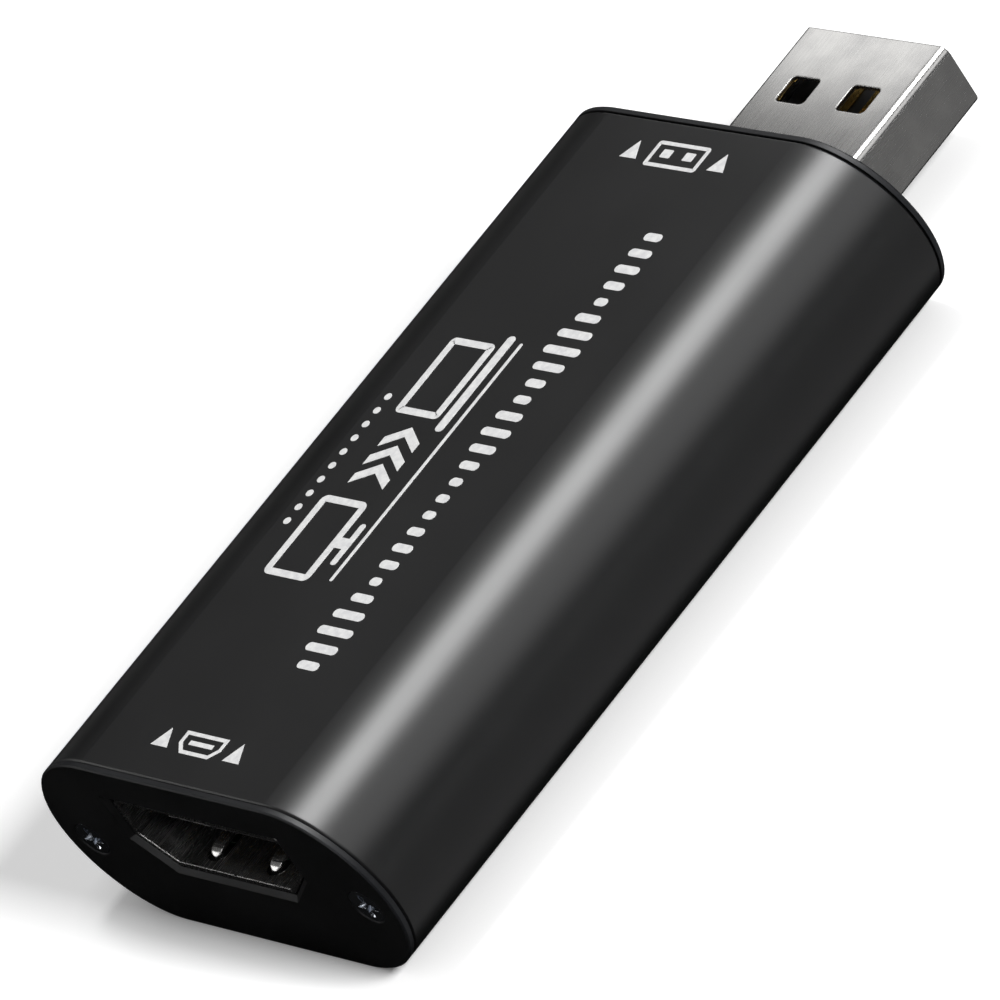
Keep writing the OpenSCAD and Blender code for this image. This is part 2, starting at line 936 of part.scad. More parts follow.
module crystal_lid() {
    lid_w = crystal_w - 2 * crystal_lid_inset;
    lid_len = crystal_len - 2 * crystal_lid_inset;
    color("#c9c6bd")
        on_board(crystal_x, crystal_y)
            translate([0, 0, crystal_h - crystal_lid_h])
                linear_extrude(crystal_lid_h)
                    rounded_rect(lid_w, lid_len, 2 * crystal_lid_inset);
}

module surge_arrays() {
    color("#2a2b2d")
        for (x = spread(surge_arrays_count, surge_pitch))
            on_board(x, surge_y)
                linear_extrude(surge_size[2])
                    square([surge_size[0], surge_size[1]], center = true);
}

// Middle of a two-terminal part that lies along X
module passive_body(len, w, h) {
    linear_extrude(h)
        square([len * (1 - 2 * terminal_share), w], center = true);
}

// Both ends of a two-terminal part that lies along X
module passive_terminals(len, w, h) {
    for (side = [-1, 1])
        translate([side * len * (1 - terminal_share) / 2, 0, 0])
            linear_extrude(h)
                square([len * terminal_share, w], center = true);
}

// Places of the ceramic capacitors
module at_capacitors() {
    for (side = [-1, 1], y = side_stations)
        on_board(side * edge_x, y)
            children();
    for (x = spread(row_capacitors, row_pitch))
        on_board(x, row_y)
            rotate([0, 0, 90])
                children();
    for (y = ferrite_stations)
        on_board(edge_x, y)
            children();
}

module capacitor_bodies() {
    color("#9a7b56")
        at_capacitors()
            passive_body(passive_len, passive_w, capacitor_h);
}

module capacitor_terminals() {
    color("#c3c6c9")
        at_capacitors()
            passive_terminals(passive_len, passive_w, capacitor_h);
}

// Places of the chip resistors
module at_resistors() {
    for (x = spread(resistors, resistor_pitch))
        on_board(x, resistor_y)
            rotate([0, 0, 90])
                children();
    for (x = spread(series_resistors, series_pitch))
        on_board(x, series_y)
            rotate([0, 0, 90])
                children();
}

module resistor_bodies() {
    color("#1c1d1f")
        at_resistors()
            passive_body(passive_len, passive_w, resistor_h);
}

module resistor_terminals() {
    color("#c3c6c9")
        at_resistors()
            passive_terminals(passive_len, passive_w, resistor_h);
}

// Places of the ferrite beads
module at_ferrites() {
    for (y = ferrite_stations)
        on_board(ferrite_x, y)
            children();
}

module ferrite_bodies() {
    color("#3a3a3d")
        at_ferrites()
            passive_body(ferrite_len, ferrite_w, ferrite_h);
}

module ferrite_terminals() {
    color("#c3c6c9")
        at_ferrites()
            passive_terminals(ferrite_len, ferrite_w, ferrite_h);
}

sleeve();
input_end_plate();
output_end_plate();
input_plate_screws();
output_plate_screws();
circuit_board();
socket_shell();
socket_insulator();
socket_upper_contacts();
socket_lower_contacts();
plug_shell();
plug_insulator();
plug_contacts();
capture_chip();
capture_chip_leads();
memory_chip();
memory_chip_leads();
voltage_regulator();
voltage_regulator_leads();
crystal_base();
crystal_lid();
surge_arrays();
capacitor_bodies();
capacitor_terminals();
resistor_bodies();
resistor_terminals();
ferrite_bodies();
ferrite_terminals();
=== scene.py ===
"""Looks of a video capture stick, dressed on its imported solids.

A black anodised sleeve with two moulded end plates, a folded video socket, a USB plug and the board
between them get procedural finishes. Plain white marks are printed on the flat top, and a small
studio holds the floor, the lights and the camera. Lengths are in metres, or in millimetres where a
name ends in mm.
"""

import logging
import math
from dataclasses import dataclass, field
from enum import Enum

import bmesh
import bpy
from mathutils import Matrix, Vector


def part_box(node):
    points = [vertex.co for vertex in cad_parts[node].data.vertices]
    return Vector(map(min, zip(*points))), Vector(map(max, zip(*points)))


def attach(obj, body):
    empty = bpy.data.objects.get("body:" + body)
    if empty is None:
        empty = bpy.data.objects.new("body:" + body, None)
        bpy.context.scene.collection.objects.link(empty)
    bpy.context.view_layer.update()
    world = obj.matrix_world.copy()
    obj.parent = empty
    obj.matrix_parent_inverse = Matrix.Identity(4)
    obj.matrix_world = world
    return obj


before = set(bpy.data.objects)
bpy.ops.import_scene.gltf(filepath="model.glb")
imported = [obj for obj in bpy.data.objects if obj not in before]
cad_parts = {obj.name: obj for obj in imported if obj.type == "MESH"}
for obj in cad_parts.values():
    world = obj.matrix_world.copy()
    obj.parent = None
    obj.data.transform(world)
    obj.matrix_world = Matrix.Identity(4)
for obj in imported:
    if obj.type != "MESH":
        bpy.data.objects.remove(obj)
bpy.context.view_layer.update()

LOG = logging.getLogger("capture_stick")
MM = 0.001
Point = tuple[float, float]
Shape = list[list[Point]]

# Parts of a noise between which a finish's colour and its gloss change, and the care taken with edges.
COLOUR_STOPS = (0.35, 0.65)
GLOSS_RANGE = (0.3, 0.7)
EDGE_SAMPLES = 6
# Distance between the bands of a wave texture of scale 1.
WAVE_PERIOD = 0.314
# Least share of an inset that a sharp corner keeps.
CORNER_SHARE = 0.2
# A lamp further to the side than this takes its bearing from Y instead of X.
SIDEWAYS = 0.9
# Cards that only reflections see lie this far above the floor and above each other, and reach this far out. They
# are painted dark and grey reflections laid over the white floor.
CARD_LIFT = 0.00002
CARD_REACH = 0.3


def linear(hex_colour: str) -> tuple[float, float, float, float]:
    """Turn an sRGB colour into linear light.

    Args:
        hex_colour: Colour as "#rrggbb".

    Returns:
        Red, green, blue and an alpha of 1.
    """
    parts = [int(hex_colour[i:i + 2], 16) / 255 for i in (1, 3, 5)]
    bent = [p / 12.92 if p <= 0.04045 else ((p + 0.055) / 1.055) ** 2.4 for p in parts]
    return bent[0], bent[1], bent[2], 1.0


def add_node(tree: bpy.types.NodeTree, kind: str, settings: dict | None = None,
             links: dict | None = None) -> bpy.types.Node:
    """Add a shader node, set it up and link its inputs.

    Args:
        tree: Node tree of a material or of the world.
        kind: Blender's name of the node type.
        settings: Values by property name, by input name or place, or "stops" for a ramp.
        links: Output sockets by the name or place of the input that each one feeds.

    Returns:
        The new node.
    """
    node = tree.nodes.new(kind)
    for key, value in (settings or {}).items():
        if key == "stops":
            for element, (place, colour) in zip(node.color_ramp.elements, value):
                element.position = place
                element.color = linear(colour)
        elif isinstance(key, str) and hasattr(node, key):
            setattr(node, key, value)
        else:
            node.inputs[key].default_value = value
    for key, output in (links or {}).items():
        tree.links.new(output, node.inputs[key])
    return node


@dataclass
class Layers:
    """Sockets that a finish paints its colour, gloss and relief from."""

    colour: bpy.types.NodeSocket
    gloss: bpy.types.NodeSocket
    height: bpy.types.NodeSocket


@dataclass(frozen=True)
class Finish:
    """A surface as it was made: mottled colour, uneven gloss and a grain in relief."""

    name: str
    colour: str
    shade: str
    roughness: float
    spread: float
    grain_mm: float
    relief_mm: float
    metallic: float = 0.0
    ior: float = 1.5
    stretch: tuple[float, float, float] = (1.0, 1.0, 1.0)
    cloud_mm: float = 6.0
    edge_mm: float = 0.05

    def noise(self, tree: bpy.types.NodeTree, size_mm: float,
              stretch: tuple[float, float, float] = (1.0, 1.0, 1.0), detail: float = 3.0) -> bpy.types.NodeSocket:
        """Lay a noise of a real size over the piece.

        Args:
            tree: Node tree of the material.
            size_mm: Width of one grain.
            stretch: How many times longer a grain is along each axis.
            detail: Number of finer layers.

        Returns:
            The noise, around one half.
        """
        coords = add_node(tree, "ShaderNodeTexCoord")
        scale = [1 / (size_mm * MM * s) for s in stretch]
        mapped = add_node(tree, "ShaderNodeMapping", {"Scale": scale}, {"Vector": coords.outputs["Object"]})
        return add_node(tree, "ShaderNodeTexNoise", {"Scale": 1.0, "Detail": detail},
                        {"Vector": mapped.outputs["Vector"]}).outputs["Fac"]

    def layers(self, tree: bpy.types.NodeTree) -> Layers:
        """Make the colour, gloss and relief of the plain surface.

        Args:
            tree: Node tree of the material.

        Returns:
            The three sockets.
        """
        grain = self.noise(tree, self.grain_mm, self.stretch)
        cloud = self.noise(tree, self.cloud_mm, self.stretch)
        stops = list(zip(COLOUR_STOPS, (self.colour, self.shade)))
        colour = add_node(tree, "ShaderNodeValToRGB", {"stops": stops}, {"Fac": cloud})
        return Layers(colour.outputs["Color"], cloud, grain)

    def material(self) -> bpy.types.Material:
        """Build the material.

        Returns:
            A material of one Principled shader with its patterns.
        """
        material = bpy.data.materials.new(self.name)
        material.use_nodes = True
        tree = material.node_tree
        tree.nodes.clear()
        layers = self.layers(tree)
        gloss = add_node(tree, "ShaderNodeMapRange", {
            "From Min": GLOSS_RANGE[0], "From Max": GLOSS_RANGE[1],
            "To Min": self.roughness - self.spread, "To Max": self.roughness + self.spread,
        }, {"Value": layers.gloss})
        edge = add_node(tree, "ShaderNodeBevel", {"samples": EDGE_SAMPLES, "Radius": self.edge_mm * MM})
        bump = add_node(tree, "ShaderNodeBump", {"Strength": 1.0, "Distance": self.relief_mm * MM},
                        {"Height": layers.height, "Normal": edge.outputs["Normal"]})
        settings = {"Metallic": self.metallic}
        if self.metallic == 0.0:
            settings["IOR"] = self.ior
        shader = add_node(tree, "ShaderNodeBsdfPrincipled", settings, {
            "Base Color": layers.colour, "Roughness": gloss.outputs["Result"], "Normal": bump.outputs["Normal"],
        })
        add_node(tree, "ShaderNodeOutputMaterial", None, {"Surface": shader.outputs["BSDF"]})
        return material


@dataclass(frozen=True)
class DrawnFinish(Finish):
    """A surface with fine lines along the way that it was drawn or rolled."""

    line_mm: float = 0.12
    line_len_mm: float = 30.0
    line_share: float = 0.5

    def layers(self, tree: bpy.types.NodeTree) -> Layers:
        """Add the lines to the plain surface's gloss and relief.

        Args:
            tree: Node tree of the material.

        Returns:
            The three sockets.
        """
        plain = super().layers(tree)
        along = (1.0, self.line_len_mm / self.line_mm, 1.0)
        lines = self.noise(tree, self.line_mm, along, 2.0)
        mixed = [
            add_node(tree, "ShaderNodeMix", {"data_type": "FLOAT", 0: self.line_share}, {2: socket, 3: lines})
            for socket in (plain.gloss, plain.height)
        ]
        return Layers(plain.colour, mixed[0].outputs[0], mixed[1].outputs[0])


@dataclass(frozen=True)
class MaskedBoard(Finish):
    """Solder mask over a board, with raised tracks under it."""

    track_mm: float = 0.8
    track_colour: str = "#2C7A4E"
    track_from: float = 0.42
    track_to: float = 0.46
    break_mm: float = 3.2
    break_stretch: tuple[float, float, float] = (1.0, 3.0, 1.0)

    def layers(self, tree: bpy.types.NodeTree) -> Layers:
        """Raise and lighten the mask where tracks run under it.

        Args:
            tree: Node tree of the material.

        Returns:
            The three sockets.
        """
        plain = super().layers(tree)
        coords = add_node(tree, "ShaderNodeTexCoord")
        wave = add_node(tree, "ShaderNodeTexWave", {
            "bands_direction": "X", "Scale": WAVE_PERIOD / (self.track_mm * MM), "Distortion": 0.0,
        }, {"Vector": coords.outputs["Object"]})
        broken = add_node(tree, "ShaderNodeMath", {"operation": "MULTIPLY"},
                          {0: wave.outputs["Fac"], 1: self.noise(tree, self.break_mm, self.break_stretch, 0.0)})
        track = add_node(tree, "ShaderNodeMapRange", {"From Min": self.track_from, "From Max": self.track_to},
                         {"Value": broken.outputs["Value"]}).outputs["Result"]
        colour = add_node(tree, "ShaderNodeMix", {"data_type": "RGBA", 7: linear(self.track_colour)},
                          {0: track, 6: plain.colour})
        return Layers(colour.outputs[2], plain.gloss, track)


# Bead-blasted aluminium, anodised and dyed black: deep black with a wide silky sheen. The blast grain
# is about 0.05 mm and is drawn at 0.11 mm so that it shows, over faint lines from the drawing die.
ANODISED_ALUMINIUM = DrawnFinish(
    "aluminium_blasted_and_anodised_black", "#070708", "#0A0A0B", 0.37, 0.02, 0.11, 0.0012,
    ior=1.77, cloud_mm=9.0, edge_mm=0.08, line_mm=0.16, line_len_mm=45.0, line_share=0.35)
# ABS moulded against a fine spark-eroded tool: near black, low satin gloss and a fine even grain.
MOULDED_ABS = Finish(
    "abs_moulded_spark_grain_black", "#0E0F12", "#121316", 0.47, 0.05, 0.15, 0.003, ior=1.54, cloud_mm=5.0,
    edge_mm=0.06)
# Cold-headed steel, zinc plated: bright and slightly blue, with small dents from handling.
ZINC_STEEL = Finish(
    "steel_cold_headed_zinc_plated", "#CDD0D5", "#A9AEB6", 0.19, 0.07, 0.18, 0.004, metallic=1.0, cloud_mm=0.5,
    edge_mm=0.04)
# Folded steel strip, nickel plated: pale warm silver, satin along the rolling direction.
NICKEL_SHEET = DrawnFinish(
    "steel_strip_rolled_nickel_plated", "#CFCECC", "#BDBCBB", 0.26, 0.05, 0.3, 0.0012, metallic=1.0,
    cloud_mm=3.0, edge_mm=0.12, line_mm=0.09, line_len_mm=14.0, line_share=0.7)
# Stamped bronze, gold plated: soft yellow mirror with fine stamping drag.
GOLD_CONTACT = DrawnFinish(
    "bronze_stamped_gold_plated", "#E4BE68", "#CDA24C", 0.24, 0.05, 0.1, 0.001, metallic=1.0, cloud_mm=0.8,
    edge_mm=0.02, line_mm=0.04, line_len_mm=2.0)
# Glass-filled polymer, moulded: dull black with pale flecks of fibre at the skin.
FILLED_POLYMER = Finish(
    "polymer_glass_filled_moulded_black", "#111113", "#1A1A1C", 0.5, 0.08, 0.14, 0.003, ior=1.6,
    stretch=(1.0, 2.5, 1.0), cloud_mm=0.6, edge_mm=0.03)
# Fibreglass laminate under green solder mask: glassy dark green, raised over the tracks.
SOLDER_MASK = MaskedBoard(
    "fibreglass_laminate_green_mask", "#124A2E", "#0F3F27", 0.32, 0.05, 0.2, 0.03, ior=1.55, cloud_mm=2.0,
    edge_mm=0.05)
# Epoxy moulding compound: matt charcoal with a fine sandy texture from the mould.
MOULDING_COMPOUND = Finish(
    "epoxy_compound_moulded_charcoal", "#1D1E20", "#26272A", 0.6, 0.06, 0.07, 0.003, ior=1.57, cloud_mm=0.5,
    edge_mm=0.03)
# Copper, tin plated: grey-white metal with a cloudy satin bloom.
TINNED_COPPER = Finish(
    "copper_stamped_tin_plated", "#CBCCCE", "#B3B4B7", 0.36, 0.08, 0.08, 0.002, metallic=1.0, cloud_mm=0.3,
    edge_mm=0.02)
# Fired ceramics: the brown of barium titanate, the grey of ferrite and the dark base of a crystal.
BROWN_CERAMIC = Finish("ceramic_fired_brown", "#8F7150", "#7C5F41", 0.48, 0.06, 0.06, 0.003, ior=1.9, cloud_mm=0.4)
GREY_FERRITE = Finish("ferrite_fired_grey", "#37373A", "#2B2B2E", 0.5, 0.06, 0.06, 0.003, ior=1.9, cloud_mm=0.4)
DARK_CERAMIC = Finish("ceramic_fired_dark", "#453E33", "#38322A", 0.52, 0.06, 0.06, 0.003, ior=1.8, cloud_mm=0.4)
# Iron-nickel lid, gold flashed: pale satin gold, welded flat.
FLASHED_LID = Finish(
    "iron_nickel_lid_gold_flashed", "#CFC6AD", "#BBB197", 0.3, 0.06, 0.1, 0.002, metallic=1.0, cloud_mm=0.6,
    edge_mm=0.04)
# Screen-printed epoxy ink: soft white, a little thinner and greyer in patches.
SCREEN_INK = Finish(
    "epoxy_ink_screen_printed_white", "#EDEDEC", "#D9D9DA", 0.5, 0.06, 0.12, 0.003, ior=1.5, cloud_mm=0.45,
    edge_mm=0.02)


def dress(nodes: list[str], material: bpy.types.Material) -> None:
    """Give CAD nodes a finish and report them.

    Args:
        nodes: Names of the nodes.
        material: The finish's material.
    """
    for name in nodes:
        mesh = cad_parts[name].data
        mesh.materials.clear()
        mesh.materials.append(material)
        LOG.info("dressed %s in %s", name, material.name)


@dataclass
class Housing:
    """Sleeve, end plates and the screws that hold them."""

    sleeve: str = "sleeve"
    plates: list[str] = field(default_factory=lambda: ["input_end_plate", "output_end_plate"])
    screws: list[str] = field(default_factory=lambda: ["input_plate_screws", "output_plate_screws"])

    def dress(self) -> None:
        """Dress the metal sleeve, the moulded plates and the screws."""
        dress([self.sleeve], ANODISED_ALUMINIUM.material())
        dress(self.plates, MOULDED_ABS.material())
        dress(self.screws, ZINC_STEEL.material())


@dataclass
class Connectors:
    """Video socket and USB plug, with their shells, insulators and contacts."""

    shells: list[str] = field(default_factory=lambda: ["socket_shell", "plug_shell"])
    insulators: list[str] = field(default_factory=lambda: ["socket_insulator", "plug_insulator"])
    contacts: list[str] = field(default_factory=lambda: [
        "socket_upper_contacts", "socket_lower_contacts", "plug_contacts"])

    def dress(self) -> None:
        """Dress the folded shells, the insulators and the contacts."""
        dress(self.shells, NICKEL_SHEET.material())
        dress(self.insulators, FILLED_POLYMER.material())
        dress(self.contacts, GOLD_CONTACT.material())


@dataclass
class CaptureBoard:
    """Circuit board and the parts on it."""

    compound: list[str] = field(default_factory=lambda: [
        "capture_chip", "memory_chip", "voltage_regulator", "surge_arrays", "resistor_bodies"])
    tinned: list[str] = field(default_factory=lambda: [
        "capture_chip_leads", "memory_chip_leads", "voltage_regulator_leads", "capacitor_terminals",
        "resistor_terminals", "ferrite_terminals"])

    def dress(self) -> None:
        """Dress the board, its chips, their leads and the small ceramic parts."""
        dress(["circuit_board"], SOLDER_MASK.material())
        dress(self.compound, MOULDING_COMPOUND.material())
        dress(self.tinned, TINNED_COPPER.material())
        dress(["capacitor_bodies"], BROWN_CERAMIC.material())
        dress(["ferrite_bodies"], GREY_FERRITE.material())
        dress(["crystal_base"], DARK_CERAMIC.material())
        dress(["crystal_lid"], FLASHED_LID.material())


class Port(Enum):
    """Which connector a mark beside an end stands for."""

    SOCKET = "socket"
    PLUG = "plug"


def rounded_loop(low: Point, high: Point, radius: float, steps: int = 6) -> list[Point]:
    """Outline of a rectangle with round corners.

    Args:
        low: Lower left corner.
        high: Upper right corner.
        radius: Radius of the corners.
        steps: Segments in each corner.

    Returns:
        Points, counter-clockwise.
    """
    centres = [(high[0] - radius, high[1] - radius), (low[0] + radius, high[1] - radius),
               (low[0] + radius, low[1] + radius), (high[0] - radius, low[1] + radius)]
    loop = []
    for turn, (cx, cy) in enumerate(centres):
        for step in range(steps + 1):
            angle = math.pi / 2 * (turn + step / steps)
            loop.append((cx + radius * math.cos(angle), cy + radius * math.sin(angle)))
    return loop


def inset_loop(loop: list[Point], depth: float) -> list[Point]:
    """Move every side of a convex outline inwards.

    Args:
        loop: Points, counter-clockwise.
        depth: Distance of the move.

    Returns:
        As many points as the outline has.
    """
    moved = []
    count = len(loop)
    for i, point in enumerate(loop):
        before, after = Vector(loop[i - 1]), Vector(loop[(i + 1) % count])
        here = Vector(point)
        first, second = (here - before).normalized(), (after - here).normalized()
        normal = Vector((-first.y - second.y, first.x + second.x)).normalized()
        share = max(CORNER_SHARE, normal.dot(Vector((-first.y, first.x))))
        moved.append(tuple(here + normal * (depth / share)))
    return moved


# Outlines of the pictures in the row, in millimetres along it and up from its foot. Where an outline is
# a rectangle, its corners and their radius are given.
SCREEN_FRAME = ((0.0, 1.1), (6.2, 5.0), 0.5)
SCREEN_NECK = [(2.7, 0.45), (3.5, 0.45), (3.5, 1.1), (2.7, 1.1)]
SCREEN_FOOT = ((1.5, 0.0), (4.7, 0.45), 0.2)
LAPTOP_LID = ((12.8, 1.15), (18.8, 4.9), 0.4)
LAPTOP_BASE = ((12.0, 0.1), (19.6, 0.75), 0.3)
ARROW = [(0.0, 1.0), (0.75, 1.0), (1.75, 2.5), (0.75, 4.0), (0.0, 4.0), (1.0, 2.5)]
RULE = ((0.4, 0.0), (19.2, 0.24), 0.1)
# Outlines of the port marks, in millimetres around the middle of each picture.
SOCKET_MOUTH = [(1.8, -0.1), (1.8, 0.8), (-1.8, 0.8), (-1.8, -0.1), (-1.2, -0.8), (1.2, -0.8)]
SOCKET_TONGUE = [(-1.0, -0.12), (1.0, -0.12), (1.0, 0.2), (-1.0, 0.2)]
PLUG_FACE = ((-2.2, -1.0), (2.2, 1.0), 0.25)
PLUG_WINDOW = ((-0.4, -0.25), (0.4, 0.4))
ARROWHEAD = [(-0.7, -0.65), (0.7, -0.65), (0.0, 0.75)]


@dataclass
class TopPrint:
    """Plain white marks printed on the sleeve's flat top, in millimetres on X and Y."""

    ink_mm: float = 0.02
    bite_mm: float = 0.004
    stroke_mm: float = 0.5
    row_x_mm: float = -0.9
    row_y_mm: float = -17.2
    arrow_count: int = 3
    arrow_mm: float = 7.3
    arrow_pitch_mm: float = 1.45
    rule_x_mm: float = -0.15
    bars_x_mm: float = 3.1
    bars_y_mm: float = -23.0
    bar_count: int = 27
    bar_pitch_mm: float = 1.3
    bar_width_mm: float = 0.62
    bar_flat_mm: float = 0.01
    bar_half_mm: float = 0.45
    bar_rise_mm: float = 1.05
    bar_beat: float = 0.55
    bar_shift: float = 0.4
    bar_fade: float = 0.17
    dots_x_mm: float = -7.1
    dots_y_mm: float = -13.6
    dot_count: int = 10
    dot_pitch_mm: float = 1.1
    dot_radius_mm: float = 0.26
    dot_round_mm: float = 0.255
    input_y_mm: float = -29.5
    output_y_mm: float = 17.2
    socket_reach_mm: float = 3.1
    socket_stroke_mm: float = 0.26
    plug_reach_mm: float = 3.7
    plug_stroke_mm: float = 0.28
    window_mm: float = 0.95
    window_round_mm: float = 0.08
    top: float = 0.0

    def __post_init__(self) -> None:
        """Take the height of the flat top from the sleeve."""
        self.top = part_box("sleeve")[1].z

    def build(self) -> None:
        """Print every mark in one ink."""
        ink = SCREEN_INK.material()
        for name, shapes in (
            ("print_signal_row", self.signal_row()),
            ("print_level_bars", self.level_bars()),
            ("print_rule", self.rule()),
            ("print_dots", self.dots()),
            ("print_input_mark", self.port_mark(Port.SOCKET, self.input_y_mm)),
            ("print_output_mark", self.port_mark(Port.PLUG, self.output_y_mm)),
        ):
            self.press(name, shapes, ink)

    def press(self, name: str, shapes: list[Shape], ink: bpy.types.Material) -> None:
        """Lay a thin film of ink on the top.

        Args:
            name: Name of the piece.
            shapes: Each shape is one outline, or an outline and the hole in it.
            ink: The ink's material.
        """
        low, high = self.top - self.bite_mm * MM, self.top + self.ink_mm * MM
        bm = bmesh.new()
        for shape in shapes:
            walls = [[[bm.verts.new((x * MM, y * MM, z)) for x, y in loop] for z in (low, high)] for loop in shape]
            for under, over in walls:
                for i in range(len(under)):
                    bm.faces.new((under[i - 1], under[i], over[i], over[i - 1]))
            if len(shape) == 1:
                bm.faces.new(walls[0][1])
                bm.faces.new(walls[0][0][::-1])
            else:
                for level in (0, 1):
                    outer, inner = walls[0][level], walls[1][level]
                    for i in range(len(outer)):
                        bm.faces.new((outer[i - 1], outer[i], inner[i], inner[i - 1]))
        bmesh.ops.recalc_face_normals(bm, faces=bm.faces)
        mesh = bpy.data.meshes.new(name)
        bm.to_mesh(mesh)
        bm.free()
        piece = bpy.data.objects.new(name, mesh)
        bpy.context.scene.collection.objects.link(piece)
        mesh.materials.append(ink)
        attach(piece, "root")
        LOG.info("printed %s with %d shapes", name, len(shapes))

    def lengthwise(self, shapes: list[Shape], x_mm: float, y_mm: float) -> list[Shape]:
        """Turn shapes drawn upright so that they read along +Y.

        Args:
            shapes: Shapes drawn with their foot at zero.
            x_mm: Place of their foot.
            y_mm: Place of their left end.

        Returns:
            The shapes on the top.
        """
        return [[[(x_mm - v, y_mm + u) for u, v in loop] for loop in shape] for shape in shapes]

    def ring(self, loop: list[Point], stroke: float) -> Shape:
        """Outline of a stroke along a convex loop."""
        return [loop, inset_loop(loop, stroke)]

    def signal_row(self) -> list[Shape]:
        """Screen, arrows and laptop: the way that the picture takes.

        Returns:
            The row's shapes.
        """
        shapes = [
            self.ring(rounded_loop(*SCREEN_FRAME), self.stroke_mm),
            [SCREEN_NECK],
            [rounded_loop(*SCREEN_FOOT)],
            self.ring(rounded_loop(*LAPTOP_LID), self.stroke_mm),
            [rounded_loop(*LAPTOP_BASE)],
        ]
        for step in range(self.arrow_count):
            start = self.arrow_mm + self.arrow_pitch_mm * step
            shapes.append([[(start + u, v) for u, v in ARROW]])
        return self.lengthwise(shapes, self.row_x_mm, self.row_y_mm)

    def level_bars(self) -> list[Shape]:
        """Row of bars of rising and falling height, like a sound level.

        Returns:
            The row's shapes.
        """
        shapes = []
        for i in range(self.bar_count):
            swing = math.sin(self.bar_beat * i + self.bar_shift) * math.cos(self.bar_fade * i)
            half = self.bar_half_mm + self.bar_rise_mm * abs(swing)
            u = i * self.bar_pitch_mm
            corner = self.bar_width_mm / 2 - self.bar_flat_mm
            shapes.append([rounded_loop((u, -half), (u + self.bar_width_mm, half), corner)])
        return self.lengthwise(shapes, self.bars_x_mm, self.bars_y_mm)

    def rule(self) -> list[Shape]:
        """Thin line under the pictures."""
        return self.lengthwise([[rounded_loop(*RULE)]], self.rule_x_mm, self.row_y_mm)

    def dots(self) -> list[Shape]:
        """Row of dots above the pictures.

        Returns:
            The row's shapes.
        """
        shapes = []
        radius = self.dot_radius_mm
        for i in range(self.dot_count):
            u = i * self.dot_pitch_mm
            shapes.append([rounded_loop((u, -radius), (u + 2 * radius, radius), self.dot_round_mm)])
        return self.lengthwise(shapes, self.dots_x_mm, self.dots_y_mm)

    def port_mark(self, port: Port, y_mm: float) -> list[Shape]:
        """Small picture of a connector between two arrowheads that point along the flow.

        Args:
            port: Which connector is shown.
            y_mm: Middle of the mark.

        Returns:
            The mark's shapes.
        """
        if port is Port.SOCKET:
            reach = self.socket_reach_mm
            shapes = [self.ring(SOCKET_MOUTH, self.socket_stroke_mm), [SOCKET_TONGUE]]
        else:
            reach = self.plug_reach_mm
            shapes = [self.ring(rounded_loop(*PLUG_FACE), self.plug_stroke_mm)]
            for side in (-1, 1):
                low, high = ((side * self.window_mm + x, y) for x, y in PLUG_WINDOW)
                shapes.append([rounded_loop(low, high, self.window_round_mm)])
        for side in (-1, 1):
            shapes.append([[(side * reach + x, y) for x, y in ARROWHEAD]])
        return [[[(x, y + y_mm) for x, y in loop] for loop in shape] for shape in shapes]


@dataclass
class Softbox:
    """A soft lamp that faces the object."""

    name: str
    towards: tuple[float, float, float]
    distance: float
    size: tuple[float, float]
    radiance: float
    in_gloss: bool = True
    in_matt: bool = True
    at: tuple[float, float, float] = (0.0, 0.0, 0.0065)

    def build(self) -> None:
        """Hang the lamp with its long side along the object."""
        lamp = bpy.data.lights.new(self.name, "AREA")
        lamp.shape = "RECTANGLE"
        lamp.size, lamp.size_y = self.size
        lamp.energy = self.radiance * math.pi * self.size[0] * self.size[1]
        holder = bpy.data.objects.new(self.name, lamp)
        away = Vector(self.towards).normalized()
        across = (Vector((1, 0, 0)) - away * away.x).normalized()
        if abs(away.x) > SIDEWAYS:
            across = (Vector((0, 1, 0)) - away * away.y).normalized()
        turn = Matrix((across, away.cross(across), away)).transposed()
        holder.matrix_world = Matrix.Translation(Vector(self.at) + away * self.distance) @ turn.to_4x4()
        holder.visible_camera = False
        holder.visible_glossy, holder.visible_diffuse = self.in_gloss, self.in_matt
        bpy.context.scene.collection.objects.link(holder)
        LOG.info("hung %s", self.name)


def lay_sheet(name: str, low: tuple[float, float, float], high: tuple[float, float, float],
              material: bpy.types.Material) -> bpy.types.Object:
    """Lay or stand a flat sheet that isn't part of the object.

    Args:
        name: Name of the sheet.
        low: Its lowest corner.
        high: Its highest corner.
        material: Its material.

    Returns:
        The sheet.
    """
    far, near = (high[0], low[1], low[2]), (low[0], high[1], high[2])
    mesh = bpy.data.meshes.new(name)
    mesh.from_pydata([low, far, high, near], [], [(0, 1, 2, 3)])
    mesh.materials.append(material)
    sheet = bpy.data.objects.new(name, mesh)
    bpy.context.scene.collection.objects.link(sheet)
    LOG.info("laid %s", name)
    return sheet


@dataclass
class Card:
    """A card beside the object that only its gloss sees, so that a side stays dark: a painted reflection that the
    camera, matt light and shadows never meet.
    """

    name: str
    colour: str
    low: tuple[float, float, float]
    high: tuple[float, float, float]

    def build(self) -> None:
        """Lay the card out of the camera's sight."""
        material = bpy.data.materials.new(self.name)
        material.use_nodes = True
        tree = material.node_tree
        tree.nodes.clear()
        matt = add_node(tree, "ShaderNodeBsdfDiffuse", {"Color": linear(self.colour)})
        add_node(tree, "ShaderNodeOutputMaterial", None, {"Surface": matt.outputs["BSDF"]})
        card = lay_sheet(self.name, self.low, self.high, material)
        card.visible_camera = False
        card.visible_diffuse = False
        card.visible_shadow = False
        card.visible_transmission = False


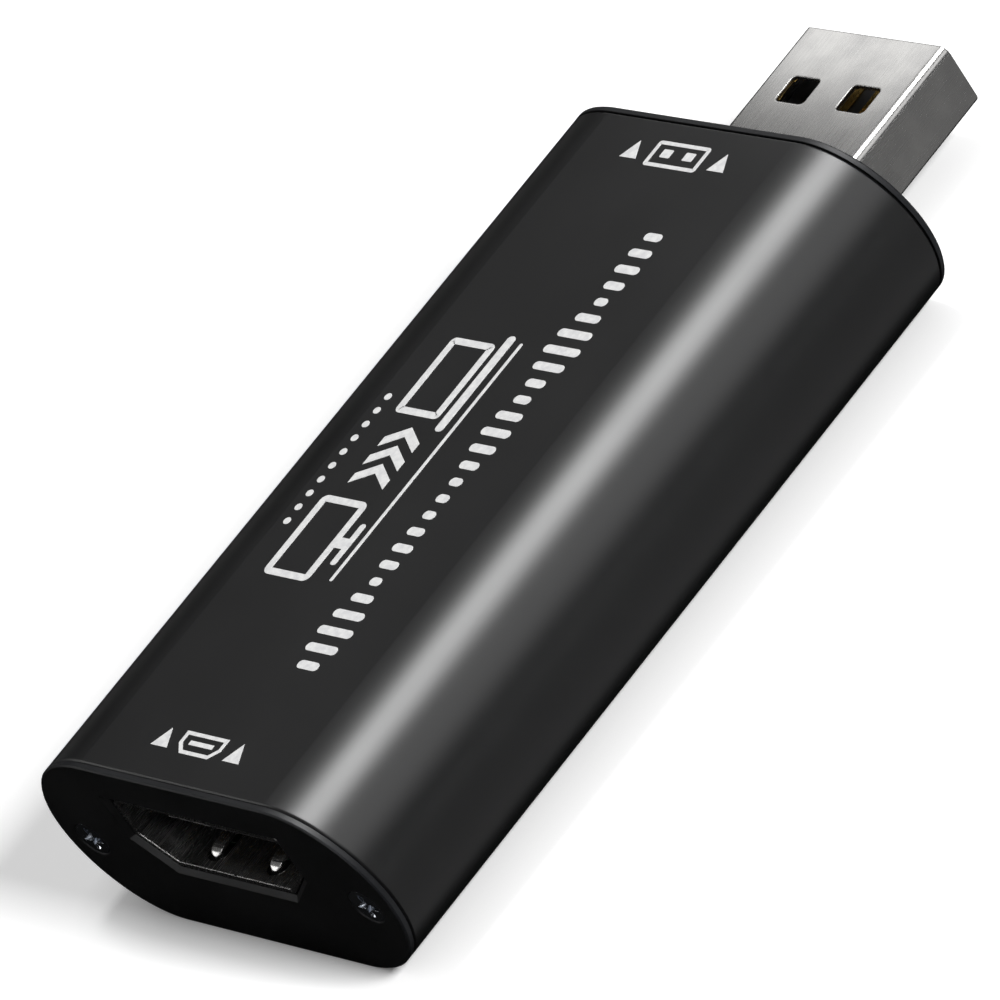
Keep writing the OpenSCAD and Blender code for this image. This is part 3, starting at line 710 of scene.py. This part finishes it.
@dataclass
class Studio:
    """White floor with a painted contact shadow, soft lamps, cards that only reflections see, and the camera."""

    floor_size: float = 2.4
    floor_colour: str = "#F0F0F0"
    # The floor's glow, seen by the camera and in reflections, is darkened by occlusion close to the object: a
    # painted contact shadow.
    floor_glow: float = 0.45
    painted_shade_reach_mm: float = 5.0
    painted_shade_samples: int = 16
    world_colour: str = "#1C1C1C"
    # Painted reflections: a black card under the whole object, grey cards beside the sleeve and the plug, and a
    # black card standing to the left.
    cards: list[Card] = field(default_factory=lambda: [
        Card("card_black", "#161616", (-CARD_REACH, -CARD_REACH, CARD_LIFT), (CARD_REACH, CARD_REACH, CARD_LIFT)),
        Card("card_sleeve", "#797979", (0.0138, -0.0325, 2 * CARD_LIFT), (CARD_REACH, 0.0255, 2 * CARD_LIFT)),
        Card("card_plug", "#787878", (0.006, 0.0255, 2 * CARD_LIFT), (CARD_REACH, CARD_REACH, 2 * CARD_LIFT)),
        Card("card_left", "#080808", (-0.12, -0.2, 0.0), (-0.12, 0.3, 0.05)),
    ])
    azimuth: float = 61.952
    elevation: float = 33.688
    roll: float = 34.775
    distance: float = 0.59477
    aim: tuple[float, float, float] = (-0.00185, -0.00409, 0.00605)
    lens_mm: float = 373.585
    sensor_mm: float = 36.0
    clip: tuple[float, float] = (0.01, 20.0)
    lamps: list[Softbox] = field(default_factory=lambda: [
        Softbox("key_right", (0.816, 0.097, 0.57), 1.5, (0.36, 0.36), 76.4, in_gloss=False),
        Softbox("key_top", (0.0, 0.17, 0.985), 1.5, (0.22, 0.22), 29.7, in_gloss=False),
        Softbox("overhead_strip", (0.049, 0.391, 0.919), 0.45, (0.21, 0.34), 8.8, in_matt=False),
        Softbox("right_wing", (0.726, 0.391, 0.566), 0.5, (0.24, 0.34), 1.2, in_matt=False),
        Softbox("left_panel", (-0.53, 0.35, 0.78), 0.5, (0.3, 0.5), 0.21, in_matt=False),
        Softbox("front_panel", (-0.761, -0.2, 0.617), 0.5, (0.2, 0.2), 0.25, in_matt=False),
        Softbox("front_high", (0.256, -0.418, 0.867), 0.4, (0.1, 0.1), 8.0, in_matt=False),
        Softbox("front_low", (0.18, -0.9, 0.32), 0.4, (0.12, 0.12), 2.0, in_matt=False),
        Softbox("front_bar", (0.0, -0.65, 0.76), 0.5, (0.5, 0.12), 1.5, in_matt=False),
        Softbox("front_side", (-0.734, -0.555, 0.391), 0.4, (0.08, 0.08), 3.0, in_matt=False),
        Softbox("plug_panel", (-0.734, 0.391, 0.555), 0.03, (0.03, 0.016), 1.15, in_matt=False,
                at=(0.0, 0.0395, 0.0073)),
    ])

    def build(self) -> None:
        """Set up the floor, the cards, the lamps, the world and the camera."""
        self.lay_floor()
        for card in self.cards:
            card.build()
        for lamp in self.lamps:
            lamp.build()
        self.light_world()
        self.set_camera()

    def lay_floor(self) -> None:
        """White paper that stays white to the eye and in reflections and keeps the lamps' soft shadow; near the
        object its glow is darkened by occlusion, a painted contact shadow.
        """
        material = bpy.data.materials.new("paper_seamless_white")
        material.use_nodes = True
        tree = material.node_tree
        tree.nodes.clear()
        path = add_node(tree, "ShaderNodeLightPath")
        seen = add_node(tree, "ShaderNodeMath", {"operation": "MAXIMUM"},
                        {0: path.outputs["Is Camera Ray"], 1: path.outputs["Is Glossy Ray"]})
        through = add_node(tree, "ShaderNodeMath", {"operation": "MAXIMUM"},
                           {0: seen.outputs["Value"], 1: path.outputs["Is Transmission Ray"]})
        # Painted contact shadow: occlusion near the object darkens the floor's glow, with no lamp behind it.
        contact = add_node(tree, "ShaderNodeAmbientOcclusion", {
            "samples": self.painted_shade_samples, "Distance": self.painted_shade_reach_mm * MM})
        level = add_node(tree, "ShaderNodeMath", {"operation": "MULTIPLY", 1: self.floor_glow},
                         {0: contact.outputs["AO"]})
        strength = add_node(tree, "ShaderNodeMath", {"operation": "MULTIPLY"},
                            {0: level.outputs["Value"], 1: through.outputs["Value"]})
        glow = add_node(tree, "ShaderNodeEmission", None, {"Strength": strength.outputs["Value"]})
        matt = add_node(tree, "ShaderNodeBsdfDiffuse", {"Color": linear(self.floor_colour)})
        both = add_node(tree, "ShaderNodeAddShader", None, {0: glow.outputs["Emission"], 1: matt.outputs["BSDF"]})
        add_node(tree, "ShaderNodeOutputMaterial", None, {"Surface": both.outputs["Shader"]})
        half = self.floor_size / 2
        lay_sheet("floor", (-half, -half, 0.0), (half, half, 0.0), material)

    def light_world(self) -> None:
        """Even grey light from all around."""
        world = bpy.data.worlds.new("studio")
        bpy.context.scene.world = world
        world.use_nodes = True
        world.node_tree.nodes["Background"].inputs["Color"].default_value = linear(self.world_colour)

    def set_camera(self) -> None:
        """Put the camera where the photograph was taken from, tilted as it was held."""
        data = bpy.data.cameras.new("camera")
        data.lens, data.sensor_width = self.lens_mm, self.sensor_mm
        data.clip_start, data.clip_end = self.clip
        camera = bpy.data.objects.new("camera", data)
        azimuth, elevation, roll = (math.radians(a) for a in (self.azimuth, self.elevation, self.roll))
        back = Vector((math.sin(azimuth) * math.cos(elevation), -math.cos(azimuth) * math.cos(elevation),
                       math.sin(elevation)))
        level = Vector((0, 0, 1)).cross(back).normalized()
        upright = back.cross(level)
        right = math.cos(roll) * level - math.sin(roll) * upright
        up = math.cos(roll) * upright + math.sin(roll) * level
        turn = Matrix((right, up, back)).transposed()
        camera.matrix_world = Matrix.Translation(Vector(self.aim) + back * self.distance) @ turn.to_4x4()
        bpy.context.scene.collection.objects.link(camera)
        bpy.context.scene.camera = camera
        LOG.info("set the camera")


def main() -> None:
    """Dress and print the object, then set up the studio."""
    logging.basicConfig(level=logging.INFO, format="%(name)s: %(message)s")
    Housing().dress()
    Connectors().dress()
    CaptureBoard().dress()
    TopPrint().build()
    Studio().build()
    bpy.context.scene.view_settings.view_transform = "Standard"


if __name__ == "__main__":
    main()
